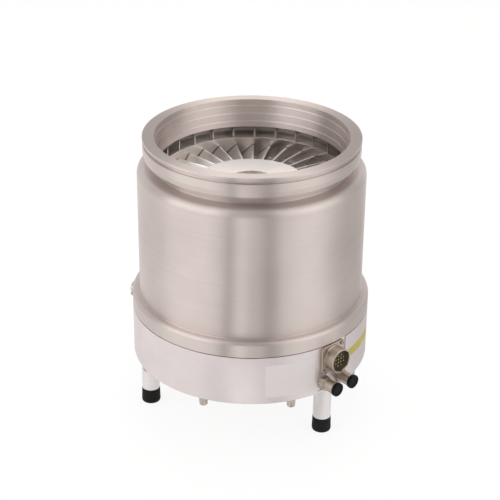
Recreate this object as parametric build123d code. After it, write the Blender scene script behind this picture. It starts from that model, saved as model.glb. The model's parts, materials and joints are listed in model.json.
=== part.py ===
from build123d import *
import os
from math import asin, cos, degrees, radians, sin, sqrt, tan

# Compound turbomolecular pump with a DN200 ISO-K inlet and a DN40 KF foreline port.
# Frame: the origin is the centre of the inlet sealing face, +Z points out of the inlet,
# and the electrical connector faces -Y. Azimuths turn from -Y towards +X. Millimetres.

# ---- heights along the pump axis ----
INLET_RIM = 2.7          # thickness of the outer rim of the inlet flange
RIM_GROOVE = 7.0         # lower edge of the groove behind the rim
LIP_TAPER = -16.0        # the flange narrows slightly below this
LIP_BOTTOM = -22.3       # underside of the inlet flange
SHOULDER = -34.0         # top of the wide body
UNDERCUT_TOP = -32.0     # top of the deep undercut above the stator stack
LEDGE = -47.0            # inner shoulder of the casing, which clamps the stator stack
ROTOR_TOP = -54.0
FLANGE_TOP = -183.8      # top of the casing's bolted flange
PARTING = -202.5         # joint between the casing and the base
BASE_BOTTOM = -259.8
FLOOR = -321.8           # surface that the feet stand on

# ---- radii ----
RIM_R = 120.0
SEAT_R = 106.5           # recess for the ISO-K centring ring
GROOVE_R = 116.5
LIP_R = 119.0
LIP_FOOT_R = 117.4       # the flange at its underside
NECK_R = 106.5
BODY_R = 125.7
SHOULDER_ROUND = 8.5
FLANGE_ROUND = 5.5
BASE_R = 133.85
STACK_R = 115.8          # outside of the stator and spacer rings
BORE_R = 116.0           # casing bore around them
TIP_R = 100.0            # rotor blade tips
HUB_R = 60.0             # rotor hub at the first stage
HUB_GROWTH = 2.5         # the hub widens by this much from stage to stage
BELL_R = 48.0            # hollow inside of the rotor hub
RECESS_R = 26.0          # recess for the clamp screw in the top of the hub

# ---- blade rows ----
STAGES = 6
ROTOR_BLADES = 32
STATOR_BLADES = 28
ROW_GAP = 1.6            # axial gap between a rotor row and a stator row
FIRST_ROTOR_ROW = 13.0
FIRST_STATOR_ROW = 9.5
ROW_SHRINK = 0.87        # each row is this much lower than the one above
FIRST_PITCH = 44.0       # blade angle from the rotor plane, first stage, degrees
PITCH_DROP = 4.0         # later stages are this much flatter, each
BLADE_THICKNESS = 1.7
BLADE_ROOT = 3.5         # a rotor blade starts this far inside the hub
BLADE_START = 0.3        # the first rotor blade's top edge, degrees from +X
BLADE_STAGGER = 2.7      # each row is turned by this much against the row above, degrees
RIM_PLATE = 3.0          # thickness of a stator ring's outer rim
CLAMP_LUGS = 26          # lugs on the ring on top of the stack
CLAMP_LUG_START = 2.9    # angle of the first lug from +X, degrees

# ---- drag stage ----
DRAG_TOP = -166.5
DRAG_BOTTOM = -214.0
SLEEVE_R = 86.0
SLEEVE_WALL = 4.0
DRAG_GAP = 1.0
DRAG_GROOVES = 16

# ---- motor and bearings ----
SHAFT_R = 10.0
SEAT_SHAFT_R = 7.5       # bearing bore radius
BEARING_R = 16.0
BEARING_WIDTH = 9.0
BALL_R = 2.38
BALL_COUNT = 9
BALL_CIRCLE_R = 11.75
BALL_CLEARANCE = 0.05
DAMPER_R = 17.2          # bearing housing bore, filled by the damper rings
UPPER_BEARING_TOP = -95.0
LOWER_BEARING_TOP = -178.0
MOTOR_TOP = -116.0
MOTOR_BOTTOM = -158.0
END_TURN = 6.0           # height of the windings beyond the core
CORE_R = 36.2
MOTOR_SLOTS = 12

# ---- base ----
CAVITY_R = 104.2
CAVITY_FLOOR = -236.0
SPIGOT_TOP = -196.0
HOUSING_R = 44.0
HOUSING_FLANGE_R = 70.0
HOUSING_FLANGE_TOP = -244.0
COVER_TOP = -252.0
COVER_R = 88.0
COVER_THICKNESS = 6.8
COVER_SCREWS = 8
COVER_SCREW_CIRCLE = 83.0
TIE_BOLTS = 8
TIE_CIRCLE_R = 125.0
TIE_START = 22.5         # azimuth of the first tie bolt
TIE_R = 3.0
FEET = 3
FOOT_CIRCLE_R = 117.5
FOOT_R = 10.0
FOOT_TIP = 17.5          # height of a rubber tip

# ---- things on the outside of the base ----
SERVICE_X = -3.5         # centre line of the connector and the water fittings
FLAT_Y = -131.6          # milled flat that they stand on
CONNECTOR_Z = -219.6
CONNECTOR_PLATE = 34.0
PLATE_THICKNESS = 3.2
CONNECTOR_R = 14.0
CONNECTOR_FRONT = -147.0
SOCKET_R = 12.2
WATER_X = 12.2           # half the distance between the water fittings
WATER_Z = -247.3
WATER_FRONT = -151.5
WATER_BORE_R = 4.0
WATER_BARREL_R = 6.8
WATER_COLLAR = 7.0       # height of the hexagon against the flat
WATER_CAP_R = 7.8
COOLING_R = 97.0         # circle of the cast-in cooling tube
COOLING_TUBE_R = 3.0
PORT_Z = -230.5          # foreline port
PORT_BORE_R = 20.6
PORT_THROAT_R = 16.4     # passage from the port into the outlet cavity
PORT_TUBE_R = 23.0
PORT_FLANGE_R = 27.5
PORT_FACE = 162.0
PORT_FLAT = 130.6
VENT_AZIMUTH = -153.5
VENT_Z = -217.0
VENT_FLAT = -133.2
VENT_TIP = -149.0
LABEL_THICKNESS = 0.2


def turned(*points):
    """A solid of revolution about Z from its closed outline of (radius, height) points."""
    return revolve(make_face(Plane.XZ * Polyline(*points, close=True)), Axis.Z)


def ring(inner, outer, low, high):
    return turned((inner, low), (outer, low), (outer, high), (inner, high))


def disc(radius, low, high):
    return Pos(0, 0, (low + high) / 2) * Cylinder(radius, high - low)


def rod_y(radius, near, far, x=0.0, z=0.0):
    """A round bar along Y between two Y places."""
    return Pos(x, (near + far) / 2, z) * Rot(90, 0, 0) * Cylinder(radius, abs(far - near))


def tube_y(inner, outer, near, far, x=0.0, z=0.0):
    return rod_y(outer, near, far, x, z) - rod_y(inner, near, far, x, z)


def around(shape, count, start=0.0):
    """Equal copies of a shape, spaced round the Z axis from the azimuth start."""
    return [Rot(0, 0, start + 360 * i / count) * shape for i in range(count)]


def rounded(face, corner, radius):
    """Round the outline's corner that lies nearest to (radius, height)."""
    target = Vector(corner[0], 0, corner[1])
    vertex = min(face.vertices(), key=lambda v: (Vector(v.X, v.Y, v.Z) - target).length)
    return fillet(vertex, radius)


def profile(*points):
    return make_face(Plane.XZ * Polyline(*points, close=True))


# ---- blade rows ----

def row_heights(first):
    return [first * ROW_SHRINK ** stage for stage in range(STAGES)]


def row_tops():
    """Top of each rotor row and of the stator row below it."""
    rotor_tops, stator_tops = [], []
    z = ROTOR_TOP
    for high, low in zip(row_heights(FIRST_ROTOR_ROW), row_heights(FIRST_STATOR_ROW)):
        rotor_tops.append(z)
        z -= high + ROW_GAP
        stator_tops.append(z)
        z -= low + ROW_GAP
    return rotor_tops, stator_tops


def hub_radius(stage):
    return HUB_R + HUB_GROWTH * stage


def blade(inner, outer, top, height, pitch, lean):
    """One flat blade along +X; its top edge leans towards +Y if lean is 1, or -Y if it is -1."""
    shift = lean * height / 2 / tan(radians(pitch))
    half = BLADE_THICKNESS / 2 / sin(radians(pitch))
    plane = Plane(origin=(inner, 0, 0), x_dir=(0, 1, 0), z_dir=(1, 0, 0))
    outline = Polyline((shift - half, top), (shift + half, top),
                       (half - shift, top - height), (-shift - half, top - height), close=True)
    return extrude(make_face(plane * outline), outer - inner, dir=(1, 0, 0))


def rotor():
    """One-piece bell-shaped rotor: hub, rows of blades with radial top edges, drag-sleeve seat
    and shaft boss."""
    tops, _ = row_tops()
    heights = row_heights(FIRST_ROTOR_ROW)
    outline = [(RECESS_R, ROTOR_TOP)]
    for stage in range(STAGES):
        outline.append((hub_radius(stage), tops[stage] + (ROW_GAP if stage else 0)))
        next_top = tops[stage + 1] + ROW_GAP if stage + 1 < STAGES else tops[stage] - heights[stage]
        outline.append((hub_radius(stage), next_top))
    seat_top = outline[-1][1]
    outline += [(SLEEVE_R - SLEEVE_WALL, seat_top), (SLEEVE_R - SLEEVE_WALL, DRAG_TOP - 5),
                (BELL_R, DRAG_TOP - 5), (BELL_R, -84), (16, -84), (16, -90), (9.8, -90),
                (9.8, UPPER_BEARING_TOP), (7, UPPER_BEARING_TOP), (7, -68), (RECESS_R, -68)]
    hub = turned(*outline)
    blades = []
    for stage in range(STAGES):
        pitch = FIRST_PITCH - PITCH_DROP * stage
        run = heights[stage] / tan(radians(pitch))
        reach = sqrt(TIP_R ** 2 - (run + BLADE_THICKNESS) ** 2)
        one = blade(hub_radius(stage) - BLADE_ROOT, reach, tops[stage], heights[stage], pitch, -1)
        radial = Pos(0, run / 2, 0) * one
        blades += around(radial, ROTOR_BLADES, BLADE_START + BLADE_STAGGER * stage)
    return hub.fuse(*blades)


def stator_ring(stage):
    """Two half rings of blades that are closed round the rotor between two of its rows."""
    _, tops = row_tops()
    top = tops[stage]
    height = row_heights(FIRST_STATOR_ROW)[stage]
    band_r = hub_radius(stage + 1) + 1.4
    whole = [ring(band_r, band_r + 2, top - height, top),
             ring(TIP_R + 0.6, STACK_R, top - RIM_PLATE, top)]
    one = blade(band_r + 1, TIP_R + 1.0, top, height, FIRST_PITCH - 2 - PITCH_DROP * stage, 1)
    blades = around(one, STATOR_BLADES, 180 / STATOR_BLADES)
    body = whole[0].fuse(whole[1], *blades)
    kerf = Pos(0, 0, top) * Box(2.5 * STACK_R, 0.3, 4 * height)
    return (body - kerf).solids()


def rim_heights(stage):
    """Bottom and top of the spacer below a stator ring's rim."""
    _, tops = row_tops()
    low = tops[stage + 1] if stage + 1 < STAGES - 1 else DRAG_TOP
    return low, tops[stage] - RIM_PLATE


def spacer_ring(stage):
    low, high = rim_heights(stage)
    return ring(TIP_R + 1.4, STACK_R, low, high)


def stack_clamp_ring():
    """Top ring of the stack; its lugs stand in the undercut of the inlet neck."""
    _, tops = row_tops()
    inner = TIP_R + 1.4
    body = turned((inner, tops[0]), (STACK_R, tops[0]), (STACK_R, LEDGE), (102.9, LEDGE),
                  (102.9, LEDGE + 2), (inner, LEDGE + 2))
    lug = Pos(102.2, 0, (UNDERCUT_TOP + LEDGE) / 2 + 0.7) * Box(1.1, 2.4, 13.2)
    return body.fuse(*around(lug, CLAMP_LUGS, CLAMP_LUG_START))


# ---- casing and base ----

def inlet_casing():
    """Turned casing: ISO-K flange, neck, body and bolted bottom flange."""
    face = profile((SEAT_R, 0), (RIM_R, 0), (RIM_R, -INLET_RIM), (GROOVE_R, -INLET_RIM),
                   (GROOVE_R, -RIM_GROOVE), (LIP_R, -RIM_GROOVE), (LIP_R, LIP_TAPER),
                   (LIP_FOOT_R, LIP_BOTTOM), (NECK_R, LIP_BOTTOM), (NECK_R, SHOULDER),
                   (BODY_R, SHOULDER),
                   (BODY_R, FLANGE_TOP), (BASE_R, FLANGE_TOP), (BASE_R, PARTING),
                   (BORE_R, PARTING), (BORE_R, LEDGE), (103.2, LEDGE), (103.2, LEDGE + 2),
                   (114, LEDGE + 2), (114, -41.5), (105, -36), (105, UNDERCUT_TOP),
                   (101.8, UNDERCUT_TOP), (101.8, -25), (103.2, -25), (103.2, -16), (104.6, -16),
                   (104.6, -7), (SEAT_R, -7))
    face = rounded(face, (NECK_R, SHOULDER), 1)
    face = rounded(face, (BODY_R, SHOULDER), SHOULDER_ROUND)
    face = rounded(face, (BODY_R, FLANGE_TOP), 0.8)
    face = rounded(face, (BASE_R, FLANGE_TOP), FLANGE_ROUND)
    casing = revolve(face, Axis.Z)
    tapped = Pos(0, -TIE_CIRCLE_R, 0) * disc(TIE_R, PARTING, PARTING + 12)
    return casing - around(tapped, TIE_BOLTS, TIE_START)


def cooling_path(radius):
    """Solid of the given radius along the cast-in cooling tube."""
    sweep_angle = 360 - 2 * degrees(asin(WATER_X / COOLING_R))
    section = Plane.XZ * Pos(COOLING_R, WATER_Z) * Circle(radius)
    loop = Rot(0, 0, -90 + (360 - sweep_angle) / 2) * revolve(section, Axis.Z, sweep_angle)
    end_y = -COOLING_R * cos(asin(WATER_X / COOLING_R))
    solid = Pos(SERVICE_X, 0, 0) * loop
    for x in (SERVICE_X - WATER_X, SERVICE_X + WATER_X):
        solid += rod_y(radius, end_y, -122.5, x, WATER_Z)
        solid += Pos(x, end_y, WATER_Z) * Sphere(radius)
    return solid


def base_housing():
    """Base with the annular outlet cavity, a spigot for the stack and all outside seats."""
    base = turned((HOUSING_R, CAVITY_FLOOR), (CAVITY_R, CAVITY_FLOOR), (CAVITY_R, SPIGOT_TOP),
                  (115.9, SPIGOT_TOP), (115.9, PARTING), (BASE_R, PARTING), (BASE_R, BASE_BOTTOM),
                  (COVER_R + 0.2, BASE_BOTTOM), (COVER_R + 0.2, COVER_TOP),
                  (HOUSING_FLANGE_R, COVER_TOP), (HOUSING_FLANGE_R, HOUSING_FLANGE_TOP),
                  (HOUSING_R, HOUSING_FLANGE_TOP))
    cuts = [ring(117.2, 119.8, PARTING - 2.4, PARTING)]
    cuts += around(Pos(0, -TIE_CIRCLE_R, 0) * disc(TIE_R + 0.3, BASE_BOTTOM, PARTING),
                   TIE_BOLTS, TIE_START)
    cuts += around(Pos(0, -COVER_SCREW_CIRCLE, 0) * disc(2.5, COVER_TOP, COVER_TOP + 10),
                   COVER_SCREWS, TIE_START)
    cuts += around(Pos(0, -FOOT_CIRCLE_R, 0) * disc(4, BASE_BOTTOM, BASE_BOTTOM + 12), FEET)
    cuts.append(Pos(SERVICE_X, FLAT_Y - 5, (PARTING - 256.5) / 2)
                * Box(42, 10, PARTING + 256.5))
    cuts.append(rod_y(10, -100, FLAT_Y, SERVICE_X, CONNECTOR_Z))
    cuts.append(tube_y(12, 14.4, FLAT_Y, FLAT_Y + 1.8, SERVICE_X, CONNECTOR_Z))
    for x, z in connector_corners():
        cuts.append(rod_y(1.5, FLAT_Y, FLAT_Y + 8, x, z))
    for x in (SERVICE_X - WATER_X, SERVICE_X + WATER_X):
        cuts.append(rod_y(5, -122.5, FLAT_Y, x, WATER_Z))
    cuts.append(cooling_path(COOLING_TUBE_R))
    cuts.append(Pos(0, PORT_FLAT + 5, PORT_Z) * Box(58, 10, 2 * 27))
    cuts.append(rod_y(PORT_THROAT_R, 100, 118, 0, PORT_Z))
    cuts.append(rod_y(PORT_TUBE_R, 118, PORT_FLAT, 0, PORT_Z))
    vent = Pos(0, VENT_FLAT - 5, VENT_Z) * Box(26, 10, 26)
    vent += rod_y(4.5, -118, VENT_FLAT, 0, VENT_Z) + rod_y(2, -100, -118, 0, VENT_Z)
    cuts.append(Rot(0, 0, VENT_AZIMUTH) * vent)
    return base - cuts


def bottom_cover():
    cover = ring(0, COVER_R, COVER_TOP - COVER_THICKNESS, COVER_TOP)
    cuts = [ring(74.5, 77.5, COVER_TOP - 2.4, COVER_TOP)]
    hole = disc(2.75, COVER_TOP - COVER_THICKNESS, COVER_TOP)
    hole += disc(4.6, COVER_TOP - COVER_THICKNESS, COVER_TOP - 3.3)
    cuts += around(Pos(0, -COVER_SCREW_CIRCLE, 0) * hole, COVER_SCREWS, TIE_START)
    return cover - cuts


def cover_screws():
    head = disc(4.25, COVER_TOP - 6.3, COVER_TOP - 3.3)
    socket = Pos(0, 0, COVER_TOP - 6.3) * extrude(RegularPolygon(1.6, 6), 1.8)
    screw = head + disc(2.5, COVER_TOP - 3.3, COVER_TOP + 9) - socket
    return around(Pos(0, -COVER_SCREW_CIRCLE, 0) * screw, COVER_SCREWS, TIE_START)


def tie_bolts():
    stud = disc(TIE_R, BASE_BOTTOM - 9, PARTING + 11.5)
    return around(Pos(0, -TIE_CIRCLE_R, 0) * stud, TIE_BOLTS, TIE_START)


def tie_bolt_nuts():
    """Domed nuts with a flange, under the base."""
    nut = disc(6.2, BASE_BOTTOM - 1.6, BASE_BOTTOM)
    nut += Pos(0, 0, BASE_BOTTOM - 7) * extrude(RegularPolygon(5.5, 6), 6)
    dome = Pos(0, 0, BASE_BOTTOM - 7.8) * Sphere(4.7)
    nut += dome - Pos(0, 0, BASE_BOTTOM) * Box(20, 20, 14)
    nut -= disc(TIE_R, BASE_BOTTOM - 9, BASE_BOTTOM)
    return around(Pos(0, -TIE_CIRCLE_R, 0) * nut, TIE_BOLTS, TIE_START)


def foot_posts():
    top_of_tip = FLOOR + FOOT_TIP
    post = disc(FOOT_R, top_of_tip, BASE_BOTTOM) + disc(4, BASE_BOTTOM, BASE_BOTTOM + 11.5)
    post += disc(6, top_of_tip - 9, top_of_tip)
    return around(Pos(0, -FOOT_CIRCLE_R, 0) * post, FEET)


def foot_tips():
    tip = fillet(Cylinder(FOOT_R + 0.3, FOOT_TIP).edges().filter_by(GeomType.CIRCLE), 1)
    tip = Pos(0, 0, FLOOR + FOOT_TIP / 2) * tip
    tip -= disc(6, FLOOR + FOOT_TIP - 9, FLOOR + FOOT_TIP)
    return around(Pos(0, -FOOT_CIRCLE_R, 0) * tip, FEET)


def label(azimuth_from, azimuth_to, low, high):
    """A thin label bent round the base."""
    outer = BASE_R + LABEL_THICKNESS
    face = profile((BASE_R, low), (outer, low), (outer, high), (BASE_R, high))
    return Rot(0, 0, azimuth_from - 90) * revolve(face, Axis.Z, azimuth_to - azimuth_from)


def foreline_port():
    """KF40 port: tube pressed into the base, collar on the flat, clamp flange."""
    port = tube_y(PORT_BORE_R, PORT_TUBE_R, 118, PORT_FACE, 0, PORT_Z)
    port += tube_y(PORT_BORE_R, 27, PORT_FLAT, PORT_FLAT + 5.4, 0, PORT_Z)
    outline = Polyline((PORT_BORE_R, 0), (PORT_FLANGE_R, 0), (PORT_FLANGE_R, -3),
                       (PORT_TUBE_R, -3 - (PORT_FLANGE_R - PORT_TUBE_R) * tan(radians(15))),
                       (PORT_BORE_R, -5), close=True)
    flange = revolve(make_face(Plane.XZ * outline), Axis.Z)
    return port + Pos(0, PORT_FACE, PORT_Z) * Rot(-90, 0, 0) * flange


# ---- connector, water fittings and vent ----

def connector_corners():
    reach = CONNECTOR_PLATE / 2 - 3.5
    return [(SERVICE_X + i * reach, CONNECTOR_Z + j * reach) for i in (-1, 1) for j in (-1, 1)]


def connector_shell():
    plate_front = FLAT_Y - PLATE_THICKNESS
    shell = Pos(SERVICE_X, (FLAT_Y + plate_front) / 2, CONNECTOR_Z) * Box(
        CONNECTOR_PLATE, PLATE_THICKNESS, CONNECTOR_PLATE)
    shell += rod_y(CONNECTOR_R, CONNECTOR_FRONT, plate_front, SERVICE_X, CONNECTOR_Z)
    shell += rod_y(10, FLAT_Y, -118, SERVICE_X, CONNECTOR_Z)
    shell -= rod_y(SOCKET_R, CONNECTOR_FRONT, -133, SERVICE_X, CONNECTOR_Z)
    shell -= rod_y(8, -133, -118, SERVICE_X, CONNECTOR_Z)
    for x, z in connector_corners():
        shell -= rod_y(1.5, FLAT_Y, plate_front, x, z)
    return shell


def pin_places():
    """Two circles of contacts about the connector's centre."""
    places = []
    for count, radius in ((4, 2.8), (8, 6.6)):
        for i in range(count):
            turn = radians(360 * (i + 0.5) / count)
            places.append((SERVICE_X + radius * cos(turn), CONNECTOR_Z + radius * sin(turn)))
    return places


def connector_pins():
    return [rod_y(0.8, -144.5, -127, x, z) for x, z in pin_places()]


def connector_insert():
    insert = rod_y(SOCKET_R, -139.5, -133, SERVICE_X, CONNECTOR_Z)
    insert += rod_y(8, -133, -129, SERVICE_X, CONNECTOR_Z)
    return insert - [rod_y(0.8, -144.5, -127, x, z) for x, z in pin_places()]


def connector_screws():
    screws = []
    plate_front = FLAT_Y - PLATE_THICKNESS
    for x, z in connector_corners():
        head = rod_y(2.7, plate_front - 1.8, plate_front, x, z)
        cross = Pos(x, plate_front - 1.8, z) * (Box(3, 1.6, 0.7) + Box(0.7, 1.6, 3))
        screws.append(head + rod_y(1.5, plate_front, FLAT_Y + 7.5, x, z) - cross)
    return screws


def water_fitting(x):
    hexagon = extrude(RegularPolygon(8.2, 6), WATER_COLLAR)
    body = Pos(x, FLAT_Y, WATER_Z) * Rot(90, 0, 0) * hexagon
    body += rod_y(WATER_BARREL_R, FLAT_Y - WATER_COLLAR, WATER_FRONT, x, WATER_Z)
    body += rod_y(5, -122.5, FLAT_Y, x, WATER_Z)
    body -= rod_y(WATER_BORE_R, WATER_FRONT + 10, WATER_FRONT, x, WATER_Z)
    return body - rod_y(2, -122.5, WATER_FRONT, x, WATER_Z)


def water_cap(x):
    """Push-in dust cap: a rim in front of the fitting and a plug in its bore."""
    rim = rod_y(WATER_CAP_R, WATER_FRONT - 4, WATER_FRONT - 0.05, x, WATER_Z)
    return rim + rod_y(WATER_BORE_R - 0.05, WATER_FRONT - 1, WATER_FRONT + 8, x, WATER_Z)


def cooling_tube():
    return cooling_path(COOLING_TUBE_R) - cooling_path(COOLING_TUBE_R - 1)


def vent_valve_body():
    body = rod_y(11, VENT_FLAT, -141, 0, VENT_Z) + rod_y(4.5, -118, VENT_FLAT, 0, VENT_Z)
    body -= rod_y(3, -141, -122, 0, VENT_Z)
    return Rot(0, 0, VENT_AZIMUTH) * (body - rod_y(1.5, -122, -118, 0, VENT_Z))


def vent_screw():
    screw = rod_y(9, VENT_TIP, -141.2, 0, VENT_Z) + rod_y(2.95, -142, -123, 0, VENT_Z)
    screw -= Pos(0, VENT_TIP, VENT_Z) * Box(24, 5, 2.8)
    return Rot(0, 0, VENT_AZIMUTH) * screw


# ---- drag stage ----

def drag_stator():
    """Threaded stator: slanted grooves in its bore drive the gas down to the outlet."""
    inner = SLEEVE_R + DRAG_GAP
    body = turned((inner, DRAG_BOTTOM), (CAVITY_R - 0.2, DRAG_BOTTOM), (CAVITY_R - 0.2, SPIGOT_TOP),
                  (STACK_R, SPIGOT_TOP), (STACK_R, DRAG_TOP), (inner, DRAG_TOP))
    groove = Pos(inner, 0, (DRAG_TOP + DRAG_BOTTOM) / 2) * Rot(24, 0, 0) * Box(8, 8, 90)
    return body - around(groove, DRAG_GROOVES)


def drag_sleeve():
    return ring(SLEEVE_R - SLEEVE_WALL, SLEEVE_R, DRAG_BOTTOM, DRAG_TOP + 0.5)


# ---- shaft, motor and bearings ----

def rotor_shaft():
    lower_end = LOWER_BEARING_TOP - BEARING_WIDTH
    shaft = turned((0, -68), (7, -68), (7, UPPER_BEARING_TOP), (SEAT_SHAFT_R, UPPER_BEARING_TOP),
                   (SEAT_SHAFT_R, UPPER_BEARING_TOP - BEARING_WIDTH),
                   (9.5, UPPER_BEARING_TOP - BEARING_WIDTH), (9.5, -108), (SHAFT_R, -108),
                   (SHAFT_R, -172), (9.5, -172), (9.5, LOWER_BEARING_TOP),
                   (SEAT_SHAFT_R, LOWER_BEARING_TOP), (SEAT_SHAFT_R, lower_end), (7, lower_end),
                   (7, -194), (0, -194))
    return shaft - disc(4, -86, -68)


def rotor_clamp_plate():
    return ring(4.5, 14, -68, -65)


def rotor_clamp_screw():
    screw = disc(6.5, -65, -57) + disc(4, -84, -65)
    return screw - Pos(0, 0, -61) * extrude(RegularPolygon(3.5, 6), 4)


def shaft_nut():
    return Pos(0, 0, -193) * extrude(RegularPolygon(12, 6), 6) - disc(7, -193, -187)


def motor_magnet():
    return ring(SHAFT_R, 16, MOTOR_BOTTOM + 1, MOTOR_TOP - 1)


def slot_bars(width, inner, outer, low, high):
    bar = Pos((inner + outer) / 2, 0, (low + high) / 2) * Box(outer - inner, width, high - low)
    return around(bar, MOTOR_SLOTS)


def motor_core():
    core = ring(17, CORE_R, MOTOR_BOTTOM, MOTOR_TOP)
    return core - slot_bars(5, 20, 31, MOTOR_BOTTOM, MOTOR_TOP)


def motor_windings():
    low, high = MOTOR_BOTTOM - END_TURN, MOTOR_TOP + END_TURN
    coils = ring(18.5, 33, MOTOR_TOP, high)
    return coils.fuse(ring(18.5, 33, low, MOTOR_BOTTOM), *slot_bars(5, 20, 31, MOTOR_BOTTOM, MOTOR_TOP))


def motor_housing():
    """Tube that carries the upper bearing and the motor stator inside the rotor bell."""
    housing = turned((DAMPER_R, -92), (HOUSING_R, -92), (HOUSING_R, HOUSING_FLANGE_TOP),
                     (HOUSING_FLANGE_R - 0.1, HOUSING_FLANGE_TOP),
                     (HOUSING_FLANGE_R - 0.1, COVER_TOP), (CORE_R, COVER_TOP),
                     (CORE_R, -109.5), (13.2, -109.5), (13.2, -106.5), (DAMPER_R, -106.5))
    return housing - rod_y(3.2, -50, -30, SERVICE_X, CONNECTOR_Z)


def lower_bearing_holder():
    holder = turned((12.5, -174), (CORE_R, -174), (CORE_R, -196), (DAMPER_R, -196),
                    (DAMPER_R, LOWER_BEARING_TOP), (12.5, LOWER_BEARING_TOP))
    return holder - Pos(SERVICE_X, -28, 0) * disc(3.2, -196, -174)


def outer_ring(top):
    middle = top - BEARING_WIDTH / 2
    body = ring(13.3, BEARING_R, top - BEARING_WIDTH, top)
    return body - Pos(0, 0, middle) * Torus(BALL_CIRCLE_R, BALL_R + BALL_CLEARANCE)


def inner_ring(top):
    middle = top - BEARING_WIDTH / 2
    body = ring(SEAT_SHAFT_R, 10.2, top - BEARING_WIDTH, top)
    return body - Pos(0, 0, middle) * Torus(BALL_CIRCLE_R, BALL_R + BALL_CLEARANCE)


def balls(top):
    ball = Pos(BALL_CIRCLE_R, 0, top - BEARING_WIDTH / 2) * Sphere(BALL_R)
    return around(ball, BALL_COUNT)


def cage(top):
    middle = top - BEARING_WIDTH / 2
    body = ring(10.9, 12.6, middle - 3.4, middle + 3.4)
    pocket = Pos(BALL_CIRCLE_R, 0, middle) * Rot(0, 90, 0) * Cylinder(BALL_R + BALL_CLEARANCE, 8)
    return body - around(pocket, BALL_COUNT)


def damper_rings():
    """Elastomer rings round the outer rings of both bearings."""
    tops = [UPPER_BEARING_TOP - 1, UPPER_BEARING_TOP - 6, LOWER_BEARING_TOP - 1,
            LOWER_BEARING_TOP - 6]
    return [ring(BEARING_R, DAMPER_R, top - 2, top) for top in tops]


def preload_spring():
    """Wave spring that presses the upper outer ring upwards, drawn as a plain washer."""
    return ring(13.6, BEARING_R, -106.5, UPPER_BEARING_TOP - BEARING_WIDTH)


def motor_leads():
    """Lead from the connector through the outlet cavity, then up to the windings."""
    x, z, bend = SERVICE_X, CONNECTOR_Z, 10.0
    path = Polyline((x, -126.9, z), (x, -28, z), (x, -28, MOTOR_BOTTOM - END_TURN))
    path = fillet(path.vertices().sort_by(Axis.Z)[:2].sort_by(Axis.Y)[-1], bend)
    section = Plane(origin=(x, -126.9, z), z_dir=(0, 1, 0)) * Circle(2.4)
    return sweep(section, path)


# ---- writing ----

def all_parts():
    left, right = SERVICE_X - WATER_X, SERVICE_X + WATER_X
    parts = {
        "inlet_casing": inlet_casing(), "base_housing": base_housing(),
        "bottom_cover": bottom_cover(), "cover_screws": cover_screws(),
        "casing_seal": ring(117.2, 119.8, PARTING - 2.4, PARTING),
        "cover_seal": ring(74.5, 77.5, COVER_TOP - 2.4, COVER_TOP),
        "tie_bolts": tie_bolts(), "tie_bolt_nuts": tie_bolt_nuts(),
        "foot_posts": foot_posts(), "foot_tips": foot_tips(),
        "foreline_port": foreline_port(),
        "rating_label": label(-36.7, -12.2, -251.8, -211.8),
        "side_label": label(10.8, 36.0, -232.4, -222.4),
        "connector_shell": connector_shell(), "connector_insert": connector_insert(),
        "connector_pins": connector_pins(), "connector_screws": connector_screws(),
        "connector_seal": tube_y(12, 14.4, FLAT_Y, FLAT_Y + 1.8, SERVICE_X, CONNECTOR_Z),
        "water_fitting_left": water_fitting(left), "water_fitting_right": water_fitting(right),
        "water_cap_left": water_cap(left), "water_cap_right": water_cap(right),
        "cooling_tube": cooling_tube(),
        "vent_valve_body": vent_valve_body(), "vent_screw": vent_screw(),
        "stack_clamp_ring": stack_clamp_ring(),
        "drag_stator": drag_stator(), "drag_sleeve": drag_sleeve(), "rotor": rotor(),
        "rotor_shaft": rotor_shaft(), "rotor_clamp_plate": rotor_clamp_plate(),
        "rotor_clamp_screw": rotor_clamp_screw(), "shaft_nut": shaft_nut(),
        "motor_magnet": motor_magnet(), "motor_core": motor_core(),
        "motor_windings": motor_windings(), "motor_housing": motor_housing(),
        "lower_bearing_holder": lower_bearing_holder(), "damper_rings": damper_rings(),
        "preload_spring": preload_spring(), "motor_leads": motor_leads(),
    }
    for place, top in (("upper", UPPER_BEARING_TOP), ("lower", LOWER_BEARING_TOP)):
        parts[f"{place}_bearing_outer_ring"] = outer_ring(top)
        parts[f"{place}_bearing_inner_ring"] = inner_ring(top)
        parts[f"{place}_bearing_balls"] = balls(top)
        parts[f"{place}_bearing_cage"] = cage(top)
    for stage in range(STAGES - 1):
        parts[f"stator_ring_{stage + 1}"] = stator_ring(stage)
        parts[f"spacer_ring_{stage + 1}"] = spacer_ring(stage)
    return parts


def save(name, shape):
    """Write one node; a list of copies becomes several solids in one file."""
    copies = shape if isinstance(shape, list) else [shape]
    solids = [solid for copy in copies for solid in copy.solids()]
    export_step(Compound(children=solids), f"parts/{name}.step")
    print(f"{name}: {len(solids)} solids")


def main():
    os.makedirs("parts", exist_ok=True)
    for name, shape in all_parts().items():
        save(name, shape)


if __name__ == "__main__":
    main()
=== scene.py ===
# %% [markdown]
# # A turbomolecular pump
# The pump stands on three feet with its wide inlet flange on top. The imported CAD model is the
# frame: every new surface below is worked out in that frame's millimetres, with the main sizes
# read from the boxes of its nodes, so a piece lies where the solid is.

# %% Load the frame
import json
import math

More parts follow.
